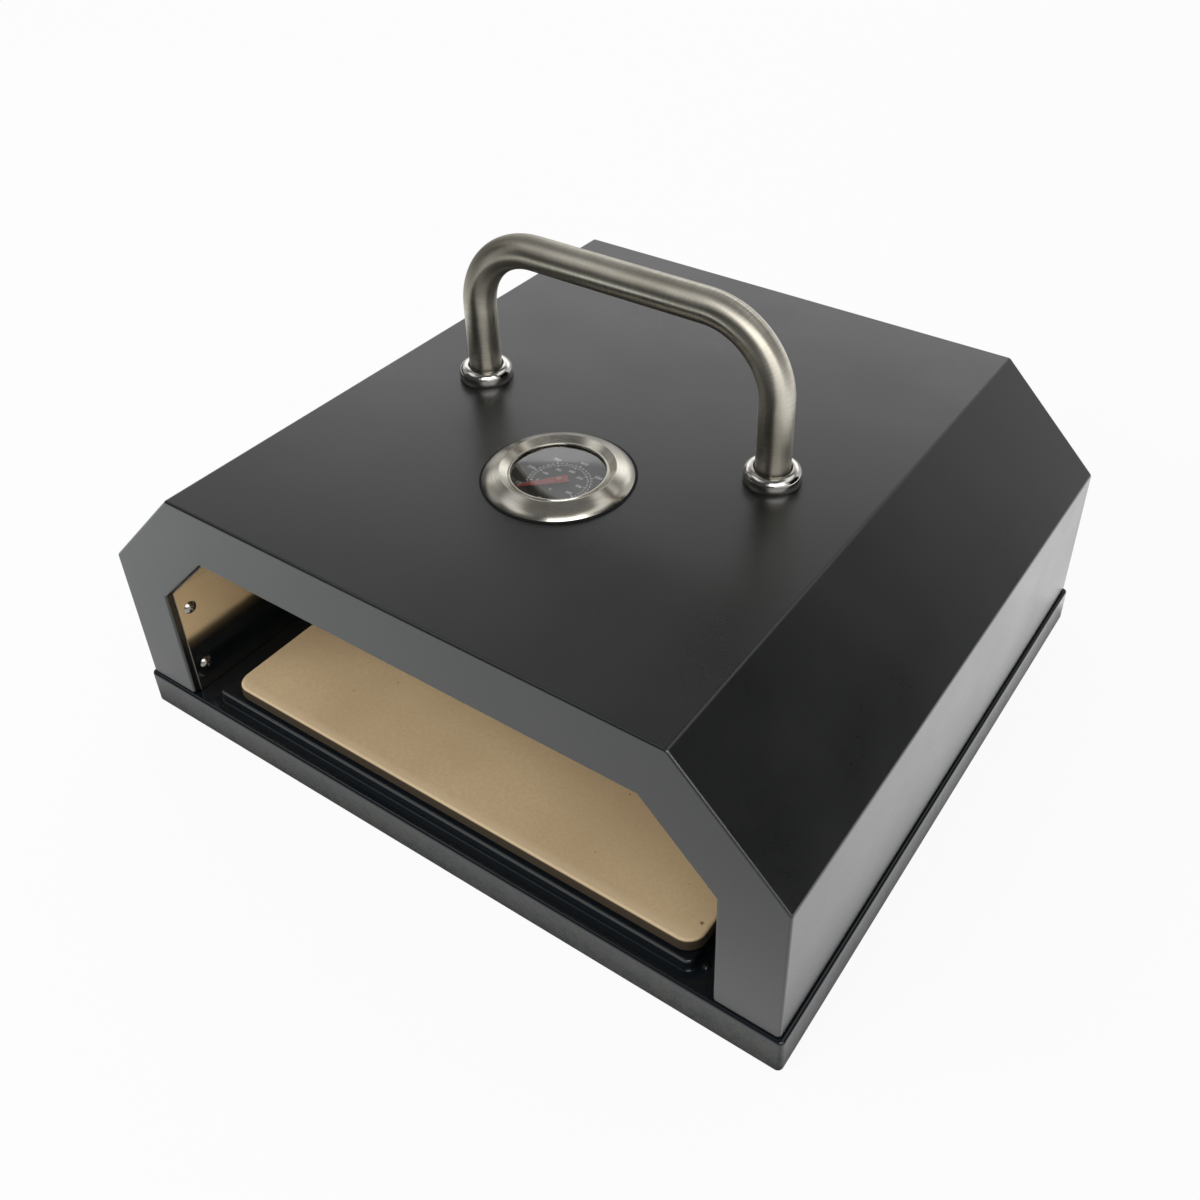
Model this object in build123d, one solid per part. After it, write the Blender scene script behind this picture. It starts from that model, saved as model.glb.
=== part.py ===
from build123d import *
import math
import os

os.makedirs("parts", exist_ok=True)

# A pizza oven that is set on a barbecue grill: a double-walled hood that lifts off a tray,
# with a baking stone on the tray. All lengths are in millimetres.
# The origin is the middle of the tray's underside. +X is the right hand of someone who faces
# the mouth, +Y runs to the back and +Z is up.

# Hood, outer sheet
hood_width = 400.0
hood_depth = 350.0
hood_height = 141.5
chamfer_size = 57.5
shell_sheet = 1.2
fold_radius = 2.5
foot_flange = 12.0
foot_notch_clearance = 0.5

# Front and back panels
mouth_frame = 33.5
panel_sheet = 1.2
panel_flange = 18.0
panel_lip = 6.0
panel_edge_radius = 1.4
post_corner_radius = 2.0

# Stainless liner of the cavity
liner_sheet = 0.8
liner_edge_radius = 0.35
liner_setback = 4.0
liner_back_gap = 19.0
liner_back_flange = 14.0
liner_floor_gap = 0.4

# Screws through the liner
screw_head_radius = 3.7
screw_head_height = 2.2
screw_shank_radius = 2.0
screw_shank_length = 8.0
screw_hole_clearance = 0.05
screw_cross_length = 4.0
screw_cross_width = 0.8
screw_cross_depth = 1.3
screw_floor_gap = 16.0
screw_knee_gap = 14.6
screw_front_inset = 7.4
screw_back_inset = 7.0

# Tray
tray_height = 22.0
tray_side_lip = 2.2
tray_front_lip = 1.5
tray_sheet = 1.2
tray_hem = 8.0
tray_corner_radius = 2.8
tray_edge_radius = 1.7
platform_side_gap = 14.5
platform_front_inset = 5.7
platform_back_inset = 40.0
platform_height = 7.0
platform_corner_radius = 4.0
platform_edge_radius = 1.4
platform_foot_radius = 1.0
bump_radius = 2.4
bump_height = 1.6
bump_side_gap = 3.6
bump_front_gap = 7.1

# Heat slots in the tray
slot_length = 44.0
slot_width = 10.0
slot_side_margin = 37.0
slot_end_margin = 58.0
slot_columns = 4
slot_rows = 5

# Baking stone, which lies loose on the platform and a little to the right
stone_side_gap = 5.0
stone_front_gap = 2.8
stone_back_gap = 7.5
stone_shift = 5.5
stone_thickness = 8.0
stone_corner_radius = 10.0
stone_edge_radius = 2.0

# Handle
handle_span = 178.5
handle_height = 82.2
handle_bend_radius = 39.2
handle_tube_radius = 8.8
handle_tube_wall = 1.5
plug_length = 16.0
plug_clearance = 0.05
bolt_radius = 3.0
bolt_clearance = 0.05
bolt_hole_clearance = 0.3
bolt_grip = 14.0
bolt_head_across_flats = 10.0
bolt_head_height = 4.0
washer_radius = 9.0
washer_thickness = 1.2
ferrule_width = 5.8
ferrule_height = 7.6
ferrule_straight_height = 2.6
ferrule_crown_width = 1.2
ferrule_recess = 2.0
ferrule_clearance = 0.1

# Dial thermometer, a little to the right of the middle. Its heights are above the roof.
dial_x = 2.1
dial_y = -55.7
bezel_radius = 37.5
bezel_sheet = 0.8
bezel_rim = 0.7
bezel_slope_width = 9.5
bezel_crest_height = 6.0
bezel_crest_rounding = 0.6
bezel_dish_width = 4.6
bezel_dish_depth = 2.4
gasket_lip = 0.6
gasket_thickness = 0.5
gasket_inner_gap = 0.3
case_flange_inset = 6.5
case_flange_width = 3.3
case_flange_thickness = 0.5
case_wall = 1.0
case_depth = 13.0
case_shoulder = 1.2
case_hole_clearance = 0.5
skirt_inset = 0.6
lens_thickness = 2.0
lens_clearance = 0.2
lens_ring_width = 1.9
dial_thickness = 0.6
dial_depth = 3.0
dial_hole_clearance = 0.5
neck_radius = 5.0
neck_bore_radius = 3.0
neck_flange_width = 3.0
neck_flange_thickness = 1.5
neck_thread_below_nut = 1.0
neck_fit = 0.05
spacer_wall = 2.6
stem_washer_width = 5.0
stem_washer_thickness = 1.0
stem_nut_wall = 3.5
stem_nut_height = 6.0
probe_wall = 0.4
probe_reach = 24.0
bush_length = 6.0
bush_flange_width = 1.2
bush_flange_thickness = 0.8
spindle_radius = 0.75
spindle_fit = 0.05
spindle_into_coil = 3.0
coil_side_gap = 0.35
coil_seat_gap = 0.05
coil_wire_radius = 0.3
coil_pitch = 2.0
coil_turns = 12

# Needle, as it points at rest, in degrees from +X
needle_rest_angle = 228.0
needle_window_gap = 2.3
needle_tail = 4.6
needle_tail_width = 5.6
needle_body_width = 5.2
needle_tip_width = 2.0
needle_thickness = 0.5
needle_above_dial = 1.2
needle_hub_radius = 2.4
needle_hub_height = 0.9
needle_boss_width = 1.0

# Shared by the cuts and the searches for edges
overrun = 1.0
near = 0.01

# Heights and places that follow from the sizes above
tray_top = tray_height
roof_z = tray_top + hood_height
knee_z = roof_z - chamfer_size
front_y = -hood_depth / 2
back_y = hood_depth / 2
shell_front = front_y + panel_lip
shell_back = back_y - panel_lip
platform_top = tray_top + platform_height
mouth_half = hood_width / 2 - mouth_frame
mouth_knee_z = knee_z - mouth_frame * math.tan(math.pi / 8)
platform_half = mouth_half - platform_side_gap
platform_front = front_y + platform_front_inset
platform_back = back_y - platform_back_inset
stone_front = platform_front + stone_front_gap
stone_back = platform_back - stone_back_gap
liner_front = front_y + liner_setback
liner_back_y = back_y - liner_back_gap
liner_floor = tray_top + liner_floor_gap
liner_roof_outer = roof_z - mouth_frame
liner_roof_inner = liner_roof_outer - liner_sheet
liner_wall_x = mouth_half - liner_sheet
screw_heights = (tray_top + screw_floor_gap, mouth_knee_z - screw_knee_gap)
front_screw_y = liner_front + screw_front_inset
back_screw_y = liner_back_y - screw_back_inset
screw_hole_radius = screw_shank_radius + screw_hole_clearance
handle_feet = {"left": -handle_span / 2, "right": handle_span / 2}
roof_underside = roof_z - shell_sheet
bezel_crest_radius = bezel_radius - bezel_slope_width
bezel_window_radius = bezel_crest_radius - bezel_dish_width
case_flange_radius = bezel_radius - case_flange_inset
case_radius = case_flange_radius - case_flange_width
glass_radius = case_radius - case_wall - lens_clearance
case_floor = roof_z - case_depth
dial_top = roof_z - dial_depth
lens_bottom = roof_z + gasket_thickness
lens_top = lens_bottom + lens_thickness
neck_top = case_floor + case_wall + neck_flange_thickness
nut_bottom = liner_roof_inner - stem_washer_thickness - stem_nut_height
neck_bottom = nut_bottom - neck_thread_below_nut
bush_top = neck_top + bush_flange_thickness
probe_top = neck_top - bush_length
probe_bottom = liner_roof_inner - probe_reach
needle_bottom = dial_top + needle_above_dial
needle_length = bezel_window_radius - needle_window_gap
neck_hole_radius = neck_radius + neck_fit
sleeve_radius = neck_bore_radius - neck_fit
coil_radius = sleeve_radius - probe_wall - coil_side_gap - coil_wire_radius
spindle_bore_radius = spindle_radius + spindle_fit


def section(inset, floor):
    """Outline of the hood seen from the front, moved inward by inset and cut off at a floor."""
    half = hood_width / 2 - inset
    top = roof_z - inset
    slant = hood_width / 2 + knee_z - inset * math.sqrt(2)
    return [(-half, floor), (-half, slant - half), (top - slant, top),
            (slant - top, top), (half, slant - half), (half, floor)]


def outline(points):
    """Flat face of a closed outline."""
    return Polygon(points, align=None)


def hood_face():
    """Outline of the hood seen from the front, with its folds rounded."""
    face = outline(section(0, tray_top))
    return fillet(face.vertices(), fold_radius)


def prism(face, y_from, y_to):
    """Solid of a face drawn as seen from the front, between two depths."""
    plane = Plane(origin=(0, y_to, 0), x_dir=(1, 0, 0), z_dir=(0, -1, 0))
    return extrude(plane * face, amount=y_to - y_from, dir=(0, -1, 0))


def block(x_from, x_to, y_from, y_to, z_from, z_to):
    """Box between two corners."""
    centre = ((x_from + x_to) / 2, (y_from + y_to) / 2, (z_from + z_to) / 2)
    return Pos(*centre) * Box(x_to - x_from, y_to - y_from, z_to - z_from)


def rounded_block(x_from, x_to, y_from, y_to, z_from, z_to, radius):
    """Box between two corners with its upright edges rounded."""
    body = block(x_from, x_to, y_from, y_to, z_from, z_to)
    return fillet(body.edges().filter_by(Axis.Z), radius)


def rod(x, y, z_from, z_to, radius):
    """Upright cylinder between two heights."""
    return Pos(x, y, (z_from + z_to) / 2) * Cylinder(radius, z_to - z_from)


def collar(x, y, z_from, z_to, outer_radius, inner_radius):
    """Upright ring between two heights."""
    hole = rod(x, y, z_from - overrun, z_to + overrun, inner_radius)
    return rod(x, y, z_from, z_to, outer_radius) - hole


def turned(face, x, y):
    """Face drawn in radius and height, turned round the upright axis through x and y."""
    return Pos(x, y, 0) * revolve(Plane.XZ * face, Axis.Z)


def hexagon(x, y, z_from, z_to, across_flats):
    """Upright hexagonal prism."""
    flat = RegularPolygon(across_flats / math.sqrt(3), 6)
    return Pos(x, y, z_from) * extrude(flat, amount=z_to - z_from)


def dome(radius, height):
    """Spherical cap that stands on the origin's level."""
    ball_radius = (radius ** 2 + height ** 2) / (2 * height)
    ball = Pos(0, 0, height - ball_radius) * Sphere(ball_radius)
    return ball & (Pos(0, 0, height / 2) * Cylinder(radius, height))


def folded_pan(face, y_face, y_open, sheet, edge_radius):
    """Sheet with all its edges bent over: its plain face is at y_face, its flange ends at y_open."""
    inner = offset(face, amount=-sheet, kind=Kind.INTERSECTION)
    if y_open > y_face:
        pan = prism(face, y_face, y_open) - prism(inner, y_face + sheet, y_open + overrun)
        rim = pan.edges().group_by(Axis.Y)[0]
    else:
        pan = prism(face, y_open, y_face) - prism(inner, y_open - overrun, y_face - sheet)
        rim = pan.edges().group_by(Axis.Y)[-1]
    return fillet(rim, edge_radius)


def wall_holes(y):
    """Cutters for the screw holes in both upright walls of the mouth at one depth."""
    drill = Rot(0, 90, 0) * Cylinder(screw_hole_radius, 2 * screw_shank_length)
    return [Pos(side * mouth_half, y, z) * drill for side in (-1, 1) for z in screw_heights]


def make_hood_shell():
    """Sheet folded over the sides and the roof, between the rims of the two panels."""
    inner = outline(section(shell_sheet, tray_top + shell_sheet))
    shell = prism(hood_face(), shell_front, shell_back)
    shell -= prism(inner, shell_front - overrun, shell_back + overrun)
    gap_half = hood_width / 2 - foot_flange
    inside_half = hood_width / 2 - shell_sheet
    cut_low = tray_top - overrun
    cut_high = tray_top + shell_sheet + overrun
    shell -= block(-gap_half, gap_half, shell_front - overrun, shell_back + overrun, cut_low, cut_high)
    notch_end = front_y + panel_flange + foot_notch_clearance
    shell -= block(-inside_half, inside_half, shell_front - overrun, notch_end, cut_low, cut_high)
    for x in handle_feet.values():
        shell -= rod(x, 0, roof_underside - overrun, roof_z + overrun, bolt_radius + bolt_hole_clearance)
    case_hole = case_radius + case_hole_clearance
    shell -= rod(dial_x, dial_y, roof_underside - overrun, roof_z + overrun, case_hole)
    return shell


def make_front_panel():
    """Front sheet with its rim bent back to the shell and a deeper flange round the mouth."""
    face = hood_face() - outline(section(mouth_frame, tray_top - overrun))
    inner_feet = [v for v in face.vertices()
                  if abs(v.Y - tray_top) < near and abs(abs(v.X) - mouth_half) < near]
    face = fillet(inner_feet, post_corner_radius)
    panel = folded_pan(face, front_y, front_y + panel_flange, panel_sheet, panel_edge_radius)
    outside = outline(section(-overrun, tray_top - overrun))
    inside = outline(section(shell_sheet + foot_notch_clearance, tray_top - 2 * overrun))
    panel -= prism(outside - inside, shell_front, front_y + panel_flange + overrun)
    for hole in wall_holes(front_screw_y):
        panel -= hole
    return panel


def make_back_panel():
    return folded_pan(hood_face(), back_y, shell_back, panel_sheet, panel_edge_radius)


def make_liner_shell():
    outer = outline(section(mouth_frame, liner_floor))
    inner = outline(section(mouth_frame + liner_sheet, liner_floor - overrun))
    liner = prism(outer - inner, liner_front, liner_back_y)
    liner = fillet(liner.edges().group_by(Axis.Y)[0], liner_edge_radius)
    for hole in wall_holes(front_screw_y) + wall_holes(back_screw_y):
        liner -= hole
    return liner - rod(dial_x, dial_y, liner_roof_inner - overrun, liner_roof_outer + overrun,
                       neck_hole_radius)


def make_liner_back():
    face = outline(section(mouth_frame + liner_sheet, liner_floor))
    void = outline(section(mouth_frame + 2 * liner_sheet, liner_floor - overrun))
    flange_front = liner_back_y - liner_back_flange
    back = prism(face, flange_front, liner_back_y)
    back -= prism(void, flange_front - overrun, liner_back_y - liner_sheet)
    for hole in wall_holes(back_screw_y):
        back -= hole
    return back


def truss_screw():
    """Screw whose head stands above the origin's level, with its shank below."""
    head = dome(screw_head_radius, screw_head_height)
    cross = Pos(0, 0, screw_head_height - screw_cross_depth / 2)
    for length, width in ((screw_cross_length, screw_cross_width), (screw_cross_width, screw_cross_length)):
        head -= cross * Box(length, width, screw_cross_depth)
    return head + rod(0, 0, -screw_shank_length, 0, screw_shank_radius)


def make_wall_screws(y, wall_x):
    """Four screws, two on each wall, with their heads inside the cavity."""
    screw = truss_screw()
    group = []
    for side in (-1, 1):
        for z in screw_heights:
            seat = Plane(origin=(side * wall_x, y, z), x_dir=(0, 1, 0), z_dir=(-side, 0, 0))
            group.append(seat.location * screw)
    return Part() + group


def slot_grid(rows, y_from, y_to, z_from, z_to):
    """Cutters for rows of round-ended slots, spread between two depths and over the platform's width."""
    slot = extrude(SlotOverall(slot_length, slot_width), amount=z_to - z_from)
    first_x = -platform_half + slot_side_margin
    step_x = -2 * first_x / (slot_columns - 1)
    step_y = (y_to - y_from) / max(rows - 1, 1)
    return [Pos(first_x + column * step_x, y_from + row * step_y, z_from) * slot
            for column in range(slot_columns) for row in range(rows)]


def make_base_tray():
    half_x = hood_width / 2 + tray_side_lip
    half_y = hood_depth / 2 + tray_front_lip
    tray = rounded_block(-half_x, half_x, -half_y, half_y, 0, tray_top, tray_corner_radius)
    tray = fillet(tray.edges().group_by(Axis.Z)[-1], tray_edge_radius)
    tray = fillet(tray.edges().group_by(Axis.Z)[0], tray_edge_radius)
    tray += rounded_block(-platform_half, platform_half, platform_front, platform_back,
                          tray_top - tray_sheet, platform_top, platform_corner_radius)
    foot_edges = [edge for edge in tray.edges().filter_by_position(Axis.Z, tray_top - near, tray_top + near)
                  if abs(edge.center().X) < platform_half + near
                  and platform_front - near < edge.center().Y < platform_back + near]
    tray = fillet(foot_edges, platform_foot_radius)
    tray = fillet(tray.edges().group_by(Axis.Z)[-1], platform_edge_radius)
    in_x = half_x - tray_sheet
    in_y = half_y - tray_sheet
    tray -= rounded_block(-in_x, in_x, -in_y, in_y, tray_sheet, tray_top - tray_sheet,
                          tray_corner_radius - tray_sheet)
    tray -= block(-in_x + tray_hem, in_x - tray_hem, -in_y + tray_hem, in_y - tray_hem,
                  -overrun, tray_sheet + overrun)
    under_half = platform_half - tray_sheet
    tray -= rounded_block(-under_half, under_half, platform_front + tray_sheet, platform_back - tray_sheet,
                          tray_top - tray_sheet - overrun, platform_top - tray_sheet,
                          platform_corner_radius - tray_sheet)
    behind_y = (platform_back + platform_foot_radius + liner_back_y) / 2
    slots = slot_grid(1, behind_y, behind_y, tray_top - tray_sheet - overrun, tray_top + overrun)
    slots += slot_grid(slot_rows, platform_front + slot_end_margin, platform_back - slot_end_margin,
                       platform_top - tray_sheet - overrun, platform_top + overrun)
    for slot in slots:
        tray -= slot
    bump = dome(bump_radius, bump_height)
    for side in (-1, 1):
        x = side * (platform_half + bump_side_gap)
        for y in (platform_front + bump_front_gap, platform_back - bump_front_gap):
            tray += Pos(x, y, tray_top) * bump
    return tray


def make_pizza_stone():
    half = platform_half - stone_side_gap
    stone = rounded_block(stone_shift - half, stone_shift + half, stone_front, stone_back,
                          platform_top, platform_top + stone_thickness, stone_corner_radius)
    stone = fillet(stone.edges().group_by(Axis.Z)[-1], stone_edge_radius)
    return fillet(stone.edges().group_by(Axis.Z)[0], stone_edge_radius)


def make_handle_tube():
    left = handle_feet["left"]
    right = handle_feet["right"]
    bar_z = roof_z + handle_height
    path = FilletPolyline((left, 0, roof_z), (left, 0, bar_z), (right, 0, bar_z), (right, 0, roof_z),
                          radius=handle_bend_radius)
    ring = Circle(handle_tube_radius) - Circle(handle_tube_radius - handle_tube_wall)
    return sweep(Plane(origin=(left, 0, roof_z), z_dir=(0, 0, 1)) * ring, path=path)


def make_ferrule(x):
    """Ring that stands round a foot of the handle, with a rounded crown and a recess inside it."""
    bore = handle_tube_radius + ferrule_clearance
    ferrule_radius = handle_tube_radius + ferrule_width
    face = outline([(bore, 0), (ferrule_radius, 0), (ferrule_radius, ferrule_height),
                    (bore + ferrule_crown_width, ferrule_height),
                    (bore + ferrule_crown_width / 2, ferrule_height - ferrule_recess),
                    (bore, ferrule_height - ferrule_recess)])
    crown = [v for v in face.vertices()
             if abs(v.Y - ferrule_height) < near and abs(v.X - ferrule_radius) < near]
    crown_radius = min(ferrule_height - ferrule_straight_height,
                       ferrule_radius - bore - ferrule_crown_width) - near
    face = fillet(crown, crown_radius)
    return Pos(0, 0, roof_z) * turned(face, x, 0)


def make_plug(x):
    radius = handle_tube_radius - handle_tube_wall - plug_clearance
    return collar(x, 0, roof_z, roof_z + plug_length, radius, bolt_radius + bolt_clearance)


def make_handle_washer(x):
    top = roof_underside
    return collar(x, 0, top - washer_thickness, top, washer_radius, bolt_radius + bolt_hole_clearance)


def make_handle_bolt(x):
    seat = roof_underside - washer_thickness
    head = hexagon(x, 0, seat - bolt_head_height, seat, bolt_head_across_flats)
    return head + rod(x, 0, seat, roof_z + bolt_grip, bolt_radius)


def make_bezel():
    seat = gasket_thickness
    under_crest = bezel_crest_height - bezel_sheet
    window_height = bezel_crest_height - bezel_dish_depth
    face = outline([(bezel_radius, seat), (bezel_radius, seat + bezel_rim),
                    (bezel_crest_radius, bezel_crest_height),
                    (bezel_window_radius, window_height),
                    (bezel_window_radius, window_height - bezel_sheet),
                    (bezel_crest_radius, under_crest),
                    (bezel_radius - bezel_sheet, seat)])
    crest = [v for v in face.vertices() if v.Y > under_crest + near]
    face = fillet(crest, bezel_crest_rounding)
    skirt_outer = case_flange_radius - skirt_inset
    skirt_inner = skirt_outer - bezel_sheet
    fall = (under_crest - seat) / (bezel_slope_width - bezel_sheet)
    skirt_top = under_crest - (skirt_inner - bezel_crest_radius) * fall
    skirt = outline([(skirt_inner, seat), (skirt_outer, seat),
                     (skirt_outer, skirt_top), (skirt_inner, skirt_top)])
    return Pos(0, 0, roof_z) * turned(face + skirt, dial_x, dial_y)


def make_gasket():
    inner = case_flange_radius + gasket_inner_gap
    return collar(dial_x, dial_y, roof_z, roof_z + gasket_thickness, bezel_radius + gasket_lip, inner)


def make_case():
    case = rod(dial_x, dial_y, case_floor, roof_z + case_flange_thickness, case_radius)
    case += rod(dial_x, dial_y, roof_z, roof_z + case_flange_thickness, case_flange_radius)
    wide = case_radius - case_wall
    shoulder_z = dial_top - dial_thickness
    case -= rod(dial_x, dial_y, shoulder_z, roof_z + overrun, wide)
    case -= rod(dial_x, dial_y, case_floor + case_wall, shoulder_z + near, wide - case_shoulder)
    return case - rod(dial_x, dial_y, case_floor - overrun, roof_z, neck_hole_radius)


def make_dial_plate():
    hole_radius = spindle_bore_radius + dial_hole_clearance
    return collar(dial_x, dial_y, dial_top - dial_thickness, dial_top, glass_radius, hole_radius)


def make_lens_ring():
    return collar(dial_x, dial_y, dial_top, lens_bottom, glass_radius, glass_radius - lens_ring_width)


def make_glass_lens():
    return rod(dial_x, dial_y, lens_bottom, lens_top, glass_radius)


def make_stem_neck():
    neck = rod(dial_x, dial_y, neck_bottom, neck_top, neck_radius)
    neck += rod(dial_x, dial_y, case_floor + case_wall, neck_top, neck_radius + neck_flange_width)
    return neck - rod(dial_x, dial_y, neck_bottom - overrun, neck_top + overrun, neck_bore_radius)


def make_stem_spacer():
    outer = neck_hole_radius + spacer_wall
    return collar(dial_x, dial_y, liner_roof_outer, case_floor, outer, neck_hole_radius)


def make_stem_washer():
    bottom = liner_roof_inner - stem_washer_thickness
    outer = neck_radius + stem_washer_width
    return collar(dial_x, dial_y, bottom, liner_roof_inner, outer, neck_hole_radius)


def make_stem_nut():
    top = nut_bottom + stem_nut_height
    nut = hexagon(dial_x, dial_y, nut_bottom, top, 2 * (neck_radius + stem_nut_wall))
    return nut - rod(dial_x, dial_y, nut_bottom - overrun, top + overrun, neck_hole_radius)


def make_stem_tube():
    bore = rod(dial_x, dial_y, probe_bottom + probe_wall, probe_top + overrun, sleeve_radius - probe_wall)
    tube = rod(dial_x, dial_y, probe_bottom, probe_top, sleeve_radius)
    tube = fillet(tube.edges().group_by(Axis.Z)[0], probe_wall)
    return tube - bore


def make_spindle_bush():
    bush = rod(dial_x, dial_y, probe_top, neck_top, sleeve_radius)
    bush += rod(dial_x, dial_y, neck_top, bush_top, neck_bore_radius + bush_flange_width)
    return bush - rod(dial_x, dial_y, probe_top - overrun, bush_top + overrun, spindle_bore_radius)


def make_bimetal_coil():
    """Helix of round wire, which stands in the closed end of the probe."""
    bottom = probe_bottom + probe_wall + coil_wire_radius + coil_seat_gap

    def point(turn):
        angle = 2 * math.pi * turn
        x = dial_x + coil_radius * math.cos(angle)
        y = dial_y + coil_radius * math.sin(angle)
        return Vector(x, y, bottom + coil_pitch * turn)

    quarters = [ThreePointArc(point(n / 4), point((n + 1 / 2) / 4), point((n + 1) / 4))
                for n in range(4 * coil_turns)]
    path = Wire([arc.edge() for arc in quarters])
    start = Plane(origin=path.position_at(0), z_dir=path.tangent_at(0))
    samples = [point(n / 16) for n in range(16 * coil_turns + 1)]
    apart = min((later - sample).length for n, sample in enumerate(samples) for later in samples[n + 8:])
    print("least gap between the coil's turns:", round(apart - 2 * coil_wire_radius, 2), "mm")
    return sweep(start * Circle(coil_wire_radius), path=path)


def make_needle():
    """Pointer, drawn along +X and then turned to where it points at rest."""
    half_tip = needle_tip_width / 2
    half_body = needle_body_width / 2
    half_tail = needle_tail_width / 2
    face = outline([(-needle_tail, -half_tail), (0, -half_body), (needle_length - half_tip, -half_tip),
                    (needle_length, 0), (needle_length - half_tip, half_tip),
                    (0, half_body), (-needle_tail, half_tail)])
    pointer = extrude(face, amount=needle_thickness)
    hub_top = needle_thickness + needle_hub_height
    pointer += Pos(0, 0, needle_thickness) * dome(needle_hub_radius, needle_hub_height)
    pointer += rod(0, 0, -needle_thickness, needle_thickness, spindle_bore_radius + needle_boss_width)
    pointer -= rod(0, 0, -overrun, hub_top - needle_thickness, spindle_bore_radius)
    return Pos(dial_x, dial_y, needle_bottom) * Rot(0, 0, needle_rest_angle) * pointer


def make_needle_spindle():
    coil_top = probe_bottom + probe_wall + coil_pitch * coil_turns
    top = needle_bottom + needle_hub_height - near
    return rod(dial_x, dial_y, coil_top - spindle_into_coil, top, spindle_radius)


nodes = {
    "base_tray": make_base_tray(),
    "pizza_stone": make_pizza_stone(),
    "hood_shell": make_hood_shell(),
    "front_panel": make_front_panel(),
    "back_panel": make_back_panel(),
    "liner_shell": make_liner_shell(),
    "liner_back": make_liner_back(),
    "liner_front_screws": make_wall_screws(front_screw_y, liner_wall_x),
    "liner_back_screws": make_wall_screws(back_screw_y, liner_wall_x - liner_sheet),
    "handle_tube": make_handle_tube(),
    "thermometer_bezel": make_bezel(),
    "thermometer_gasket": make_gasket(),
    "thermometer_case": make_case(),
    "dial_plate": make_dial_plate(),
    "lens_ring": make_lens_ring(),
    "glass_lens": make_glass_lens(),
    "stem_neck": make_stem_neck(),
    "stem_spacer": make_stem_spacer(),
    "stem_washer": make_stem_washer(),
    "stem_nut": make_stem_nut(),
    "stem_tube": make_stem_tube(),
    "spindle_bush": make_spindle_bush(),
    "bimetal_coil": make_bimetal_coil(),
    "needle": make_needle(),
    "needle_spindle": make_needle_spindle(),
}
for side, x in handle_feet.items():
    nodes["handle_ferrule_" + side] = make_ferrule(x)
    nodes["handle_plug_" + side] = make_plug(x)
    nodes["handle_washer_" + side] = make_handle_washer(x)
    nodes["handle_bolt_" + side] = make_handle_bolt(x)

for name, solid in nodes.items():
    export_step(solid, f"parts/{name}.step")
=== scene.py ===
import math

import bmesh
import bpy
from mathutils import Matrix, Vector


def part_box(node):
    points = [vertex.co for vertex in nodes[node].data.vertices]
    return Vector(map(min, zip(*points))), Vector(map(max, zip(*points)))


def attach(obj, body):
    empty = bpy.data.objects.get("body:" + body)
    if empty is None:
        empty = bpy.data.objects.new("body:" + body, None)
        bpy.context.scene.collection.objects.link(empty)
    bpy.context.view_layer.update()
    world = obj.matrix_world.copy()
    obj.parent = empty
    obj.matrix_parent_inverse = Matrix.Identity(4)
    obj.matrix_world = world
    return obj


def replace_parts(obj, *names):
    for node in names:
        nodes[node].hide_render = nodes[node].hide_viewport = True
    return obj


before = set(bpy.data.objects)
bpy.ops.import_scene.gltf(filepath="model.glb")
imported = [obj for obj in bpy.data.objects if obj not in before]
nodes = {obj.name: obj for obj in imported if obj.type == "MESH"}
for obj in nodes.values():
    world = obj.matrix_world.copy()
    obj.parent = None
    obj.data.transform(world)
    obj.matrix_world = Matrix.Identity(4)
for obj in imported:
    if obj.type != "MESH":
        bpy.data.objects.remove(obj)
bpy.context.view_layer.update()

MM = 0.001
HALF_TURN = math.pi
FULL_TURN = 2 * math.pi
NOISE_SPREAD = (0.3, 0.7)

# Camera, solved from the photograph's edges: place in metres, angles in degrees, lens and centre in pixels
IMAGE_SIZE = 1200
CAMERA_PLACE = (0.31905, -0.44597, 0.51654)
CAMERA_AZIMUTH = 34.353
CAMERA_ELEVATION = 36.530
CAMERA_ROLL = -0.557
CAMERA_LENS = 1262.4
CAMERA_CENTRE = (644.3, 506.1)
SENSOR = 36.0

# Handle tube. The last two are the steps of each bend and the points round the tube
HANDLE_BEND = 39.2 * MM
HANDLE_WALL = 1.5 * MM
HANDLE_BEND_STEPS = 28
HANDLE_SIDES = 72

# Collars round the handle's feet
COLLAR_WIDTH = 5.7 * MM
COLLAR_FOOT_EDGE = 0.3 * MM
COLLAR_CROWN = 4.0 * MM
COLLAR_LIP = 0.7 * MM
COLLAR_LIP_EDGE = 0.3 * MM
COLLAR_BORE_EDGE = 0.2 * MM
COLLAR_RECESS = 2.0 * MM
COLLAR_SIDES = 96

# Bezel. It is trimmed a little, so that the gasket under it shows. Its crest rises by what the rounding takes
# off, and its sheet is a little thicker there
BEZEL_TRIM = 0.25 * MM
BEZEL_SHEET = 0.8 * MM
BEZEL_RIM = 0.45 * MM
BEZEL_RIM_EDGE = 0.2 * MM
BEZEL_SLOPE_WIDTH = 9.0 * MM
BEZEL_CREST_RISE = 0.07 * MM
BEZEL_CREST_EDGE = 0.45 * MM
BEZEL_CREST_EXTRA = 0.2 * MM
BEZEL_DISH_WIDTH = 5.1 * MM
BEZEL_DISH_DEPTH = 2.4 * MM
BEZEL_SIDES = 224
# The bead round the window: its outer foot and outer top, its height and its roundings from outside to inside
BEAD_FOOT = 1.25 * MM
BEAD_TOP = 0.95 * MM
BEAD_SINK = 0.10 * MM
BEAD_HEIGHT = 0.35 * MM
BEAD_EDGES = (0.15 * MM, 0.25 * MM, 0.35 * MM)
# The slope bulges a little: next to the crest it falls at this share of an even fall, and the rest comes near
# the rim, by this power of the way out
SLOPE_START = 0.72
SLOPE_POWER = 6
SLOPE_STEPS = 16

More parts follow.
